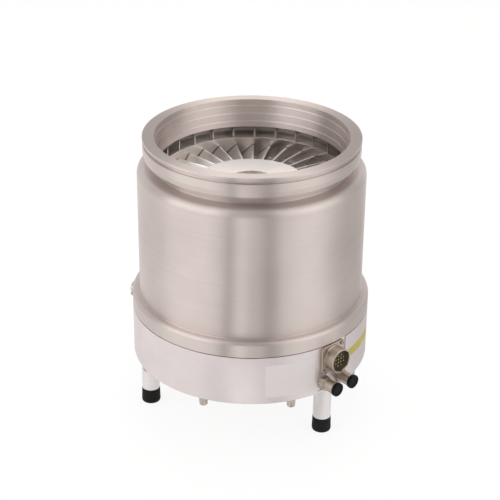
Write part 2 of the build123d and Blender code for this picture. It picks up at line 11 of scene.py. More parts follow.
import bmesh
import bpy
import numpy as np
from mathutils import Matrix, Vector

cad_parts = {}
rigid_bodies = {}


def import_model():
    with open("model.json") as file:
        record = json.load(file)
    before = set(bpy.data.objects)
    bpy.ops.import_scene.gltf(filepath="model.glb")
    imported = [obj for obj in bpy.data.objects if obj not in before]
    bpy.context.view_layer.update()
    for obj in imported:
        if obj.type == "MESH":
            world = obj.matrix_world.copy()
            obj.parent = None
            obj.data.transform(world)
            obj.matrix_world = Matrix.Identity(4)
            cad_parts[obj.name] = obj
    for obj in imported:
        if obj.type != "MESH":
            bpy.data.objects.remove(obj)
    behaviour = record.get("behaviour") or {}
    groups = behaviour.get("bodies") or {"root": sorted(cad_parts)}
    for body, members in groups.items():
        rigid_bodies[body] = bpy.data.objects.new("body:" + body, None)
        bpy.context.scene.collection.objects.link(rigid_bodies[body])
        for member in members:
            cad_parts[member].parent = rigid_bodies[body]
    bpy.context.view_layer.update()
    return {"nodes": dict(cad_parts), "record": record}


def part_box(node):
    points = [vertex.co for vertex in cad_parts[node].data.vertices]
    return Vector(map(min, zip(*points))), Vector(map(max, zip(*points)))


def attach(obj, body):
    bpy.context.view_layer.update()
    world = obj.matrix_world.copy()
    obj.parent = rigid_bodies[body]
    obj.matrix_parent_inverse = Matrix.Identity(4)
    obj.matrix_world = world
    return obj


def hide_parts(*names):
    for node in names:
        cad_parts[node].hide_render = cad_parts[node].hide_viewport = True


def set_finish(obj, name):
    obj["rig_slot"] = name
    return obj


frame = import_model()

MM = 0.001

# %% [markdown]
# Nearly everything on a pump is turned on a lathe. A turned piece is a closed outline of radius
# and height carried round an axis, so two helpers do most of the modelling: one rounds the
# corners of an outline as a lathe tool would, and the other spins it. The Screw modifier could
# spin it too, but a computed grid gives a clean UV map that runs along the tool marks.

# %% Outlines with tool-rounded corners
def outline(*corners, steps=5):
    """Closed outline through (radius, height, rounding) corners.
    A rounding of r puts an arc of radius r there, tangent to both sides: its ends lie
    r / tan(half the corner's angle) from the corner, and its points turn evenly between them.
    One more point on each side keeps the shading of the straight run flat."""
    table = np.array([tuple(corner) + (0.0,) * (3 - len(corner)) for corner in corners])
    points = []
    for before, here, after in zip(np.roll(table, 1, 0), table, np.roll(table, -1, 0)):
        to_before, to_after = before[:2] - here[:2], after[:2] - here[:2]
        run_before, run_after = np.hypot(*to_before), np.hypot(*to_after)
        to_before, to_after = to_before / run_before, to_after / run_after
        half = math.acos(np.clip(to_before @ to_after, -1, 1)) / 2
        reach = min(here[2] / math.tan(half), 0.48 * run_before, 0.48 * run_after)
        if reach < 1e-4:
            points.append(here[:2])
            continue
        radius = reach * math.tan(half)
        bisector = (to_before + to_after) / np.linalg.norm(to_before + to_after)
        centre = here[:2] + bisector * radius / math.sin(half)
        start, end = here[:2] + to_before * reach - centre, here[:2] + to_after * reach - centre
        spare_before = min(0.4, 0.2 * (run_before - reach))
        spare_after = min(0.4, 0.2 * (run_after - reach))
        turn = math.pi - 2 * half
        points.append(centre + start + to_before * spare_before)
        for t in np.linspace(0, 1, steps + 1):
            mix = (math.sin((1 - t) * turn) * start + math.sin(t * turn) * end) / math.sin(turn)
            points.append(centre + mix)
        points.append(centre + end + to_after * spare_after)
    return np.array(points)


# %% [markdown]
# A surface here is a grid of points, its four-sided faces, and one UV pair for each corner of
# each face. A piece is made of one or several such closed surfaces. Points that lie on each
# other, as at a pole, are merged, and the faces are then all turned outwards.

# %% Grids of faces
def grid_faces(rows, columns):
    """Faces of a grid that closes both ways; point (i, j) is number i * columns + j."""
    i, j = np.meshgrid(np.arange(rows), np.arange(columns), indexing="ij")
    down, right = (i + 1) % rows, (j + 1) % columns
    corners = (i * columns + j, down * columns + j, down * columns + right, i * columns + right)
    return np.stack(corners, -1).reshape(-1, 4)


def grid_uv(along, around):
    """UV pairs for grid_faces: v is the length along the outline in metres, u the turns made.
    Both lists have one value more than the grid has rows or columns."""
    v, u = np.meshgrid(along, around, indexing="ij")
    corners = [(u[:-1, :-1], v[:-1, :-1]), (u[1:, :-1], v[1:, :-1]),
               (u[1:, 1:], v[1:, 1:]), (u[:-1, 1:], v[:-1, 1:])]
    return np.stack([np.stack(pair, -1) for pair in corners], 2).reshape(-1, 2)


# %% From arrays to a piece
def make_piece(name, surfaces, body, finish, stands_for=(), sharp=35):
    """One object from closed surfaces (points in mm, faces, uv), riding on a CAD body."""
    points, faces, uvs, count = [], [], [], 0
    for surface_points, surface_faces, surface_uv in surfaces:
        points.append(np.asarray(surface_points).reshape(-1, 3) * MM)
        faces.append(surface_faces + count)
        uvs.append(surface_uv)
        count += len(points[-1])
    points, faces = np.concatenate(points), np.concatenate(faces)
    mesh = bpy.data.meshes.new(name)
    mesh.vertices.add(len(points))
    mesh.vertices.foreach_set("co", points.ravel())
    mesh.loops.add(faces.size)
    mesh.loops.foreach_set("vertex_index", faces.ravel())
    mesh.polygons.add(len(faces))
    mesh.polygons.foreach_set("loop_start", np.arange(0, faces.size, 4))
    mesh.update(calc_edges=True)
    mesh.uv_layers.new(name="UVMap").data.foreach_set("uv", np.concatenate(uvs).ravel())
    close_mesh(mesh)
    mesh.polygons.foreach_set("use_smooth", np.ones(len(mesh.polygons), bool))
    mesh.set_sharp_from_angle(angle=math.radians(sharp))
    piece = bpy.data.objects.new(name, mesh)
    bpy.context.scene.collection.objects.link(piece)
    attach(piece, body)
    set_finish(piece, finish)
    if stands_for:
        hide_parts(*stands_for)
    print(name, len(mesh.polygons), "faces")
    return piece


def close_mesh(mesh):
    """Merge points that lie on each other and turn all faces outwards."""
    work = bmesh.new()
    work.from_mesh(mesh)
    bmesh.ops.remove_doubles(work, verts=work.verts, dist=2e-7)
    bmesh.ops.dissolve_degenerate(work, edges=work.edges, dist=1e-8)
    bmesh.ops.recalc_face_normals(work, faces=work.faces)
    work.to_mesh(mesh)
    work.free()


# %% [markdown]
# ## Spinning
# The outline's points are spun by the formula (r cos a, r sin a, z). A spun surface is made round
# its own upright axis, and a second helper then points it along the axis that the piece has.

# %% Spinning an outline
def even_turns(count):
    """Angles of a full turn in equal steps, from zero."""
    return np.arange(count) * 2 * np.pi / count


def lathe(profile, angles=even_turns(96)):
    """Closed surface of points (r cos a, r sin a, z) for each (r, z) of the closed outline."""
    radius, height = np.asarray(profile, float).T[:, :, None]
    points = np.stack([radius * np.cos(angles), radius * np.sin(angles),
                       height + 0 * angles], -1)
    closed = np.vstack([profile, profile[:1]])
    along = np.append(0, np.cumsum(np.hypot(*np.diff(closed, axis=0).T))) * MM
    around = np.append(angles, angles[0] + 2 * np.pi) / (2 * np.pi)
    return points, grid_faces(len(profile), len(angles)), grid_uv(along, around)


def moved(surface, origin=(0, 0, 0), axis=(0, 0, 1), azimuth=0.0):
    """Point a surface's Z along the axis at the origin, then turn it round the pump's axis by an
    azimuth in degrees, which runs from -Y towards +X."""
    points, faces, uv = surface
    z = np.array(axis, float) / np.linalg.norm(axis)
    x = np.cross((0, 0, 1), z) if abs(z[2]) < 0.9 else np.array((1.0, 0, 0))
    x = x / np.linalg.norm(x)
    points = points.reshape(-1, 3) @ np.array([x, np.cross(z, x), z]) + np.asarray(origin, float)
    a = math.radians(azimuth)
    turn = np.array([[math.cos(a), math.sin(a), 0], [-math.sin(a), math.cos(a), 0], [0, 0, 1]])
    return points @ turn, faces, uv


def around(surface, azimuths):
    """Copies of a surface made on the -Y side, turned to each azimuth."""
    return [moved(surface, azimuth=azimuth) for azimuth in azimuths]


# %% [markdown]
# The main radii and heights come from the frame's own boxes: the casing's box gives the widest
# radius and the parting line, the base's box gives its underside, and so on.

# %% Sizes read from the frame
def node_box(node):
    """Lowest and highest corner of a CAD node, in mm."""
    return [np.array(corner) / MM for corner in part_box(node)]


WIDE_R = round(float(node_box("inlet_casing")[1][0]), 2)
PARTING = round(float(node_box("inlet_casing")[0][2]), 2)
BASE_BOTTOM = round(float(node_box("base_housing")[0][2]), 2)
FLOOR = round(float(node_box("foot_tips")[0][2]), 2)
print("wide radius", WIDE_R, "parting", PARTING, "base", BASE_BOTTOM, "floor", FLOOR)

# %% [markdown]
# ## Inlet casing
# The casing is turned from one stainless billet. From the top: the thin outer rim, the groove
# behind it, the thick flange that narrows slightly towards its underside, the neck that the claw
# clamps reach round, the broadly rounded shoulder, the long body and the bolted flange. Inside,
# the bore narrows towards the rotor in three slight cones with a soft ledge between them, and
# then opens into a deep undercut. A narrow groove marks the joint above the base. Painted shade:
# the undercut's points, and at half strength the top sealing face's, get an attribute that mixes
# a darker, rougher steel into the colour.

# %% Inlet casing
RIM_R, SEAT_R, GROOVE_R, LIP_R, LIP_FOOT_R = 119.2, 106.5, 116.5, 119.0, 117.4
NECK_R, BODY_R, SHOULDER_ROUND, FLANGE_ROUND = 106.5, 125.7, 8.5, 5.5
FLANGE_TOP, LIP_TAPER, LIP_BOTTOM, SHOULDER = -183.8, -16.0, -22.3, -34.0
JOINT_R, JOINT_TOP = WIDE_R - 2.2, PARTING + 1.0
BORE_R, LEDGE, LEDGE_R = 116.0, -47.0, 103.2
UNDERCUT_R, UNDERCUT_LIP_R, UNDERCUT_TOP, THROAT_R = 114.0, 105.0, -32.0, 101.8
LEDGE_HALF_WIDTH, LEDGE_HALF_HEIGHT, LEDGE_ROUND = 0.25, 0.6, 0.6


def soft_ledge(radius, height):
    """A small ledge between two cones of the bore, walking upwards from the narrower one."""
    return [(radius + side * LEDGE_HALF_WIDTH, height + side * LEDGE_HALF_HEIGHT, LEDGE_ROUND)
            for side in (-1, 1)]


casing_corners = [
    (SEAT_R, 0, 0.3), (RIM_R, 0, 0.35), (RIM_R, -2.7, 0.25), (GROOVE_R, -3.0, 0.4),
    (GROOVE_R, -6.8, 0.5), (LIP_R, -7.2, 0.4), (LIP_R, LIP_TAPER, 2.0),
    (LIP_FOOT_R, LIP_BOTTOM, 0.25), (NECK_R, LIP_BOTTOM, 1.0), (NECK_R, SHOULDER, 1.0),
    (BODY_R, SHOULDER, SHOULDER_ROUND), (BODY_R, FLANGE_TOP, 0.8),
    (WIDE_R, FLANGE_TOP, FLANGE_ROUND), (WIDE_R, JOINT_TOP, 0.3), (JOINT_R, JOINT_TOP),
    (JOINT_R, PARTING), (BORE_R, PARTING, 0.3), (BORE_R, LEDGE, 0.3), (LEDGE_R, LEDGE, 0.3),
    (LEDGE_R, LEDGE + 2, 0.3), (UNDERCUT_R, LEDGE + 2, 0.5), (UNDERCUT_R, -41.5, 0.5),
    (UNDERCUT_LIP_R, -36, 1.0), (UNDERCUT_LIP_R, UNDERCUT_TOP, 0.5),
    (THROAT_R, UNDERCUT_TOP, 0.6), *soft_ledge(102.7, -25.0), *soft_ledge(104.2, -16.0),
    *soft_ledge(105.8, -7.0)]
casing = make_piece("casing_shell", [lathe(outline(*casing_corners, steps=8), even_turns(300))],
                    "pump_body", "turned_steel", ["inlet_casing"])


def mark_painted_shade(piece, rule):
    """Attribute for painted shade on every point: the share that the rule gives for its radius and
    height in mm, from 0 for the plain finish to 1 for the full painted shade."""
    places = np.empty(len(piece.data.vertices) * 3)
    piece.data.vertices.foreach_get("co", places)
    x, y, z = places.reshape(-1, 3).T / MM
    share = rule(np.hypot(x, y), z).astype(float)
    piece.data.attributes.new("painted_shade", "FLOAT", "POINT").data.foreach_set("value", share)
    print(piece.name, np.count_nonzero(share), "dull points")


def casing_painted_shade(r, z):
    """Painted shade: 1 inside the undercut's outline, a half on the top sealing face, otherwise 0.
    """
    beside_neck = (z > SHOULDER - 0.5) & (r > NECK_R - 0.8)
    across = (r > LEDGE_R + 0.1) & (r < UNDERCUT_R + 0.6)
    undercut = across & (z < UNDERCUT_TOP + 0.1) & (z > LEDGE + 1)
    sealing_face = z > -0.05
    return (undercut & ~beside_neck) + 0.5 * sealing_face


# Painted shade in the undercut and, at half strength, on the top sealing face.
mark_painted_shade(casing, casing_painted_shade)

# %% [markdown]
# ## Base
# The base is an aluminium casting, turned outside and then milled flat in three places: where the
# connector and the water fittings stand, round the foreline port, and under the vent valve. A
# milled flat is the turned wall cut back to a plane, so the wall's points that lie beyond the
# plane are moved onto it. Extra columns and rows beside the flats' borders keep those edges crisp.

# %% Base with its milled flats
SERVICE_X, FLAT_Y, CONNECTOR_Z, WATER_Z = -3.5, -131.6, -219.6, -247.3
PORT_FLAT, PORT_Z, VENT_AZIMUTH, VENT_FLAT, VENT_Z = 130.6, -230.5, -153.5, -133.2, -217.0
COVER_R, COVER_TOP, SHELF_R, SHELF_TOP, MOTOR_R = 88.2, -252.0, 70.0, -244.0, 44.0
CAVITY_R, CAVITY_FLOOR, SPIGOT_R, SPIGOT_TOP = 104.2, -236.0, 115.9, -196.0
EDGE, TOP_BEVEL = 0.12, 0.2
FLATS = [  # azimuth of its middle, sideways shift, half width, distance from the axis, low, high
    (0.0, SERVICE_X, 21.0, -FLAT_Y, -256.5, PARTING + 1),
    (180.0, 0.0, 29.0, PORT_FLAT, -257.5, -203.5),
    (VENT_AZIMUTH, 0.0, 13.0, -VENT_FLAT, VENT_Z - 13, VENT_Z + 13)]


def flat_columns():
    """Angles from +X of two columns at each side border of each flat, one just in and one out."""
    borders = [(azimuth, shift + side * (half + out)) for azimuth, shift, half, *_ in FLATS
               for side in (-1, 1) for out in (-EDGE, EDGE)]
    return [math.radians(azimuth - 90) + math.asin(x / WIDE_R) for azimuth, x in borders]


def cut_flat(surface, azimuth, shift, half, distance, low, high):
    """Points of the wall in front of the plane y = -distance, within the flat's width and
    height, are moved onto the plane and keep their x and z."""
    points, faces, uv = moved(surface, azimuth=-azimuth)
    x, y, z = points.T
    inside = (abs(x - shift) < half) & (z > low) & (z < high) & (y < -distance)
    points[:, 1] = np.where(inside, -distance, y)
    return moved((points, faces, uv), azimuth=azimuth)


wall_rows = sorted({z + side * EDGE for *_, low, high in FLATS for z in (low, high)
                    for side in (-1, 1) if z < PARTING}, reverse=True)
base_corners = [
    (WIDE_R - TOP_BEVEL, PARTING), (WIDE_R, PARTING - TOP_BEVEL),
    *[(WIDE_R, z) for z in wall_rows], (WIDE_R, BASE_BOTTOM, 1.2),
    (COVER_R, BASE_BOTTOM, 0.3), (COVER_R, COVER_TOP, 0.3), (SHELF_R, COVER_TOP, 0.3),
    (SHELF_R, SHELF_TOP, 0.3), (MOTOR_R, SHELF_TOP, 0.3), (MOTOR_R, CAVITY_FLOOR, 0.3),
    (CAVITY_R, CAVITY_FLOOR, 2.0), (CAVITY_R, SPIGOT_TOP, 0.5), (SPIGOT_R, SPIGOT_TOP, 0.5),
    (SPIGOT_R, PARTING, 0.3)]
base_angles = np.unique(np.concatenate([even_turns(400), np.mod(flat_columns(), 2 * np.pi)]))
base_wall = lathe(outline(*base_corners), base_angles)
for flat in FLATS:
    base_wall = cut_flat(base_wall, *flat)
make_piece("base_shell", [base_wall], "pump_body", "base_aluminium", ["base_housing"], sharp=20)

# %% [markdown]
# ## Rotor
# The rotor is machined from one aluminium forging: a bell with six rows of thin slanted blades.
# Each blade is a parallelogram, with its top edge on a radius, swept outwards. The sweep goes by
# true radius: a point t sideways lies at sqrt(r * r - t * t) along the blade, so its root and
# tip follow the hub and the bore. Only the first row shows.

# %% Rotor
STAGES, BLADES, ROW_GAP, TIP_R = 6, 32, 1.6, 100.0
ROTOR_ROW, STATOR_ROW, ROW_SHRINK, BLADE_THICKNESS = 13.0, 9.5, 0.87, 1.7
ROTOR_TOP = round(float(node_box("rotor")[1][2]), 2)
HUB_R, HUB_GROWTH, BLADE_START, BLADE_STAGGER = 60.0, 2.5, 0.3, 2.7
FIRST_PITCH, PITCH_DROP, ROOT_DEPTH = 44.0, 4.0, 0.8
RECESS_R, RECESS_FLOOR, SCREW_R = 26.0, -68.0, 7.0
SKIRT_R, SKIRT_BOTTOM, BELL_R, BELL_TOP = 82.0, -171.5, 48.0, -84.0


def blade_row(stage):
    """Top, height and blade angle in degrees of a rotor row; each row is lower and flatter."""
    shrink = (1 - ROW_SHRINK ** stage) / (1 - ROW_SHRINK)
    top = ROTOR_TOP - (ROTOR_ROW + STATOR_ROW) * shrink - 2 * ROW_GAP * stage
    return top, ROTOR_ROW * ROW_SHRINK ** stage, FIRST_PITCH - PITCH_DROP * stage


def blade_section(height, pitch, bevel=0.3):
    """Closed (sideways, down) outline: a slanted plate cut level, its four corners bevelled."""
    run, half = height / math.tan(pitch), BLADE_THICKNESS / 2 / math.sin(pitch)
    slope = bevel / math.tan(pitch)
    return np.array([
        (half - bevel, 0), (half + slope, -bevel), (run + half - slope, bevel - height),
        (run + half - bevel, -height), (run - half + bevel, -height),
        (run - half - slope, bevel - height), (slope - half, -bevel), (bevel - half, 0)])


def blade_surface(section, top, root, tip):
    """The section at three radii r, its point t sideways at (sqrt(r * r - t * t), t, z); each end
    is closed by running the section in to its own middle."""
    middle = np.broadcast_to(section.mean(0), section.shape)
    rings = [(middle, root), (section, root), (section, (root + tip) / 2), (section, tip),
             (middle, tip)]
    points = np.array([
        np.stack([np.sqrt(r * r - ring[:, 0] ** 2), ring[:, 0], top + ring[:, 1]], -1)
        for ring, r in rings])
    faces = grid_faces(len(rings), len(section))[:-len(section)]
    return points, faces, np.zeros((faces.size, 2))


def rotor_surfaces():
    """The hub's spun outline, then each row's blades, turned evenly round the axis."""
    corners = [(SCREW_R, RECESS_FLOOR), (RECESS_R, RECESS_FLOOR, 0.8),
               (RECESS_R, ROTOR_TOP, 0.4)]
    for stage in range(STAGES):
        top, height, _ = blade_row(stage)
        radius = HUB_R + HUB_GROWTH * stage
        low = blade_row(stage + 1)[0] + ROW_GAP if stage + 1 < STAGES else top - height
        corners += [(radius, top + (ROW_GAP if stage else 0), 1.2 if not stage else 0.3),
                    (radius, low, 0.3)]
    corners += [(SKIRT_R, corners[-1][1], 0.5), (SKIRT_R, SKIRT_BOTTOM, 0.5),
                (BELL_R, SKIRT_BOTTOM, 1.0), (BELL_R, BELL_TOP, 4.0), (16, BELL_TOP, 0.5),
                (16, -90, 0.5), (9.8, -90), (9.8, -95), (SCREW_R, -95)]
    surfaces = [lathe(outline(*corners), even_turns(192))]
    for stage in range(STAGES):
        top, height, pitch = blade_row(stage)
        one = blade_surface(blade_section(height, math.radians(pitch)), top,
                            HUB_R + HUB_GROWTH * stage - ROOT_DEPTH, TIP_R)
        start = BLADE_START + BLADE_STAGGER * stage
        surfaces += around(one, start + np.arange(BLADES) * 360 / BLADES)
    return surfaces


make_piece("bladed_rotor", rotor_surfaces(), "rotor_group", "milled_aluminium", ["rotor"])

# %% [markdown]
# ## Reshaping a turned grid
# Some turned pieces are not round all the way: a nut has a hexagon, a plate is a square with
# rounded corners, a socket has keyways. Each is a rule that changes the radius of the spun grid
# by angle, so one closed surface still makes the whole piece.

# %% Hexagon, rounded square and keyways
def hexagon(half_width, low, high):
    """Between two heights, r is at most the half width over the cosine of the angle from the
    middle of the nearest side."""
    def rule(r, a, z):
        flat = half_width / np.cos((a % (np.pi / 3)) - np.pi / 6)
        return np.where((z > low) & (z < high), np.minimum(r, flat), r)
    return rule


def rounded_square(beyond, power=9):
    """Beyond a radius, r is divided by (|cos a| ** n + |sin a| ** n) ** (1 / n)."""
    def rule(r, a, z):
        stretch = (abs(np.cos(a)) ** power + abs(np.sin(a)) ** power) ** (-1 / power)
        return np.where(r > beyond, r * stretch, r)
    return rule


def keyways(radius, beyond, angles, depth=1.0, half_angle=0.14):
    """In a bore of a given radius, r grows by the depth within the half angle of each keyway."""
    def rule(r, a, z):
        nearest = np.min([abs((a - key + np.pi) % (2 * np.pi) - np.pi) for key in angles], axis=0)
        inside = (abs(r - radius) < 0.35) & (z > beyond) & (nearest < half_angle)
        return np.where(inside, r + depth, r)
    return rule


def reshaped(surface, *rules):
    """Apply the rules to a surface still turned about its own Z axis."""
    points, faces, uv = surface
    x, y, z = np.moveaxis(points, -1, 0)
    radius, angle = np.hypot(x, y), np.arctan2(y, x)
    for rule in rules:
        radius = rule(radius, angle, z)
    return np.stack([radius * np.cos(angle), radius * np.sin(angle), z], -1), faces, uv


# %% Small solids with flat sides
def skin(rings):
    """Closed surface through rings of points; the first and last ring are single places."""
    rings = np.asarray(rings, float)
    faces = grid_faces(rings.shape[0], rings.shape[1])[:-rings.shape[1]]
    return rings, faces, np.zeros((faces.size, 2))


def slab(sides, low, high, bevel):
    """A convex outline of (x, y) points between two heights; its upper edge is bevelled by
    drawing the outline in towards its middle."""
    middle = sides.mean(0)
    reach = np.linalg.norm(sides - middle, axis=1).max()
    drawn_in = middle + (sides - middle) * (1 - bevel / reach)
    levels = [(middle + 0 * sides, low), (sides, low), (sides, high - bevel), (drawn_in, high),
              (middle + 0 * sides, high)]
    return skin([np.column_stack([flat, np.full(len(flat), z)]) for flat, z in levels])


# %% [markdown]
# ## Clamp ring
# The casing's inner ledge presses the whole stack of stator rings together through a turned ring.
# Its thin upright lugs stand in the undercut and show between the bore and the first blades. Their
# points get the painted-shade attribute too, a darker colour for the shade of the undercut.

# %% Clamp ring with its lugs
STACK_R, CLAMP_R, CLAMP_LIP_R, CLAMP_LOW = 115.8, 101.4, 102.9, -68.6
LUGS, LUG_START, LUG_HALF_WIDTH, LUG_OUT, LUG_IN = 26, 2.9, 1.0, 102.7, 101.75
clamp_profile = outline(
    (CLAMP_R, CLAMP_LOW), (STACK_R, CLAMP_LOW), (STACK_R, LEDGE), (CLAMP_LIP_R, LEDGE),
    (CLAMP_LIP_R, LEDGE + 2, 0.3), (CLAMP_R, LEDGE + 2, 0.5))
lug_corners = [(-LUG_HALF_WIDTH, -LUG_OUT), (LUG_HALF_WIDTH, -LUG_OUT),
               (LUG_HALF_WIDTH, -LUG_IN), (-LUG_HALF_WIDTH, -LUG_IN)]
lug = slab(np.array(lug_corners), LEDGE + 1, UNDERCUT_TOP - 0.2, 0.2)
lug_azimuths = 90 + LUG_START + np.arange(LUGS) * 360 / LUGS
clamp_surfaces = [lathe(clamp_profile, even_turns(256)), *around(lug, lug_azimuths)]
clamp = make_piece("stack_clamp", clamp_surfaces, "pump_body", "ring_aluminium",
                   ["stack_clamp_ring"])
# Painted shade on the lugs: a darker colour above the ring's top.
mark_painted_shade(clamp, lambda r, z: z > LEDGE + 2.5)

# %% [markdown]
# ## Foreline port
# The gas leaves at the back through a tube that is pressed into the base. A collar sits on the
# milled flat, and the flange at the end has the 15 degree slope that a clamp ring pulls on.

# %% Foreline port
PORT_FACE, PORT_BORE_R, PORT_TUBE_R, PORT_FLANGE_R = 162.0, 20.6, 23.0, 27.5
PORT_INNER_END, COLLAR_R, COLLAR_END = 118.0, 27.0, PORT_FLAT + 5.4
port_profile = outline(
    (PORT_BORE_R, PORT_INNER_END), (PORT_TUBE_R, PORT_INNER_END), (PORT_TUBE_R, PORT_FLAT),
    (COLLAR_R, PORT_FLAT, 0.2), (COLLAR_R, COLLAR_END, 0.8), (PORT_TUBE_R, COLLAR_END, 0.8),
    (PORT_TUBE_R, PORT_FACE - 4.2, 0.8), (PORT_FLANGE_R, PORT_FACE - 3, 0.3),
    (PORT_FLANGE_R, PORT_FACE, 0.4), (PORT_BORE_R, PORT_FACE, 0.4))
port_tube = moved(lathe(port_profile, even_turns(128)), (0, 0, PORT_Z), (0, 1, 0))
make_piece("foreline_tube", [port_tube], "pump_body", "turned_steel", ["foreline_port"])

# %% [markdown]
# ## Connector
# The drive cable plugs into a round socket on a square plate. The plate, the barrel and its
# socket are one turned grid: the square comes from the rounded-square rule, the dark slots in
# the socket from the keyway rule. The insert is a disc of its own with gold pins through it.

# %% Connector
FORWARD = (0, -1, 0)
PLATE_HALF, PLATE_FRONT, SQUARE_FROM = 17.0, 134.8, 14.4
BARREL_FRONT, BARREL_R, BARREL_ROOT_R = 147.0, 14.0, 13.6
SOCKET_R, SOCKET_FLOOR, HOLE_R, SLEEVE_R, SLEEVE_END = 12.2, 133.0, 8.0, 10.0, 118.0
INSERT_BACK, INSERT_FRONT = 129.0, 139.2
KEYWAY_TURNS = (-90, 30, 150, -40, -140)
shell_profile = outline(
    (HOLE_R, SLEEVE_END), (SLEEVE_R, SLEEVE_END), (SLEEVE_R, -FLAT_Y), (PLATE_HALF, -FLAT_Y, 0.2),
    (PLATE_HALF, PLATE_FRONT, 0.7), (14.25, PLATE_FRONT, 0.2),
    (BARREL_ROOT_R, PLATE_FRONT + 0.6, 0.3), (BARREL_ROOT_R, 139.4, 0.4),
    (BARREL_R, 140.0, 0.4), (BARREL_R, BARREL_FRONT, 0.7), (SOCKET_R, BARREL_FRONT, 0.5),
    (SOCKET_R, SOCKET_FLOOR), (HOLE_R, SOCKET_FLOOR))
shell = reshaped(lathe(shell_profile, even_turns(240)), rounded_square(SQUARE_FROM),
                 keyways(SOCKET_R, SOCKET_FLOOR + 1, [math.radians(t) for t in KEYWAY_TURNS]))
make_piece("connector_body", [moved(shell, (SERVICE_X, 0, CONNECTOR_Z), FORWARD)], "pump_body",
           "nickel_brass", ["connector_shell"])
insert_profile = outline(
    (0, INSERT_BACK), (HOLE_R, INSERT_BACK), (HOLE_R, SOCKET_FLOOR), (SOCKET_R, SOCKET_FLOOR),
    (SOCKET_R, INSERT_FRONT, 0.4), (10.6, INSERT_FRONT, 0.3), (10.3, INSERT_FRONT - 0.5, 0.3),
    (9.5, INSERT_FRONT - 0.5, 0.3), (9.3, INSERT_FRONT + 0.3, 0.3), (0, INSERT_FRONT + 0.3))
insert = moved(lathe(insert_profile), (SERVICE_X, 0, CONNECTOR_Z), FORWARD)
make_piece("connector_disc", [insert], "pump_body", "insert_glass", ["connector_insert"])


PIN_CIRCLES = ((4, 2.8), (8, 6.6))  # count, radius
PIN_R, PIN_BACK, PIN_FRONT = 0.8, 127.0, 144.5


def pin_places():
    """Circles of contacts, at (r cos a, r sin a), starting half a step from zero."""
    return np.concatenate([
        r * np.column_stack([np.cos(a), np.sin(a)])
        for count, r in PIN_CIRCLES
        for a in [(np.arange(count) + 0.5) * 2 * np.pi / count]])


pin_profile = outline((0, PIN_BACK), (PIN_R, PIN_BACK), (PIN_R, PIN_FRONT, 0.6), (0, PIN_FRONT))
pin = lathe(pin_profile, even_turns(16))
pins = [moved(pin, (SERVICE_X + x, 0, CONNECTOR_Z + z), FORWARD) for x, z in pin_places()]
make_piece("contact_pins", pins, "pump_body", "contact_gold", ["connector_pins"])

# %% [markdown]
# ## Water fittings and their caps
# Two plated fittings feed the cooling tube in the base. Each has a hexagon against the milled
# flat and a smooth round barrel, and is closed by a soft plastic dust cap with a plug behind its
# rim. The caps pull off, so each rides on its own body.

# %% Water fittings and caps
WATER_HALF, WATER_FRONT, WATER_BACK, PIPE_R = 12.2, 151.5, 122.5, 2.0
HEX_R, HEX_FRONT, WATER_BARREL_R, MOUTH_R, MOUTH_END = 8.2, 138.6, 6.8, 4.0, 141.5
PLUG_R, PLUG_END, CAP_R, CAP_BACK, CAP_FRONT = 3.95, 143.5, 7.8, 151.55, 155.5
fitting_profile = outline(
    (PIPE_R, WATER_BACK), (5, WATER_BACK), (5, -FLAT_Y), (HEX_R - 0.5, -FLAT_Y),
    (HEX_R, 132.1), (HEX_R, 138.0), (HEX_R - 0.5, HEX_FRONT, 0.2),
    (WATER_BARREL_R, HEX_FRONT, 0.2), (WATER_BARREL_R, 150.9), (6.2, WATER_FRONT, 0.2),
    (MOUTH_R, WATER_FRONT, 0.2), (MOUTH_R, MOUTH_END), (PIPE_R, MOUTH_END))
fitting = reshaped(lathe(fitting_profile, even_turns(144)),
                   hexagon(HEX_R * math.cos(math.pi / 6), 131.7, HEX_FRONT - 0.05))
cap = lathe(outline((0, PLUG_END), (PLUG_R, PLUG_END, 0.5), (PLUG_R, CAP_BACK),
                    (CAP_R - 0.2, CAP_BACK, 0.3), (CAP_R, 152.6, 0.4), (CAP_R, CAP_FRONT, 1.1),
                    (6.0, CAP_FRONT, 0.4), (5.6, 154.9, 0.4), (0, 154.9)))
for side, shift in (("left", -WATER_HALF), ("right", WATER_HALF)):
    place = (SERVICE_X + shift, 0, WATER_Z)
    make_piece(f"water_union_{side}", [moved(fitting, place, FORWARD)], "pump_body",
               "nickel_brass", [f"water_fitting_{side}"])
    make_piece(f"dust_cap_{side}", [moved(cap, place, FORWARD)], f"{side}_water_cap",
               "black_plastic", [f"water_cap_{side}"])

# %% [markdown]
# ## Vent valve
# Air is let back in through a small valve on the side. Its body is a plain collar on a milled
# flat, and its screw has a broad slot for a coin. The slot is simply the room between two
# rounded lips that stand on the screw's disc, which gives crisp walls without a Boolean.

# %% Vent valve
VENT_BORE_R, STEM_R, STEM_END, VENT_COLLAR_R, VENT_COLLAR_FRONT = 3.0, 4.5, 122.0, 11.0, 140.0
SHANK_R, SHANK_END, KNOB_R, DISC_BACK, DISC_FRONT = 2.95, 123.0, 9.0, 140.2, 144.2
SLOT_HALF, LIP_BACK, LIP_FRONT = 1.4, 144.0, 146.7
vent_body = lathe(outline(
    (VENT_BORE_R, STEM_END), (STEM_R, STEM_END), (STEM_R, -VENT_FLAT),
    (VENT_COLLAR_R, -VENT_FLAT, 0.2), (VENT_COLLAR_R, VENT_COLLAR_FRONT, 0.8),
    (VENT_BORE_R, VENT_COLLAR_FRONT, 0.3)))
make_piece("vent_collar", [moved(vent_body, (0, 0, VENT_Z), FORWARD, VENT_AZIMUTH)], "pump_body",
           "bright_steel", ["vent_valve_body"])
vent_disc = lathe(outline(
    (0, SHANK_END), (SHANK_R, SHANK_END, 0.5), (SHANK_R, DISC_BACK), (KNOB_R - 0.5, DISC_BACK),
    (KNOB_R, DISC_BACK + 0.5), (KNOB_R, DISC_FRONT), (0, DISC_FRONT)))
chord = math.asin(SLOT_HALF / KNOB_R)
arc = np.linspace(chord, math.pi - chord, 32)
lip = KNOB_R * np.column_stack([np.cos(arc), np.sin(arc)])
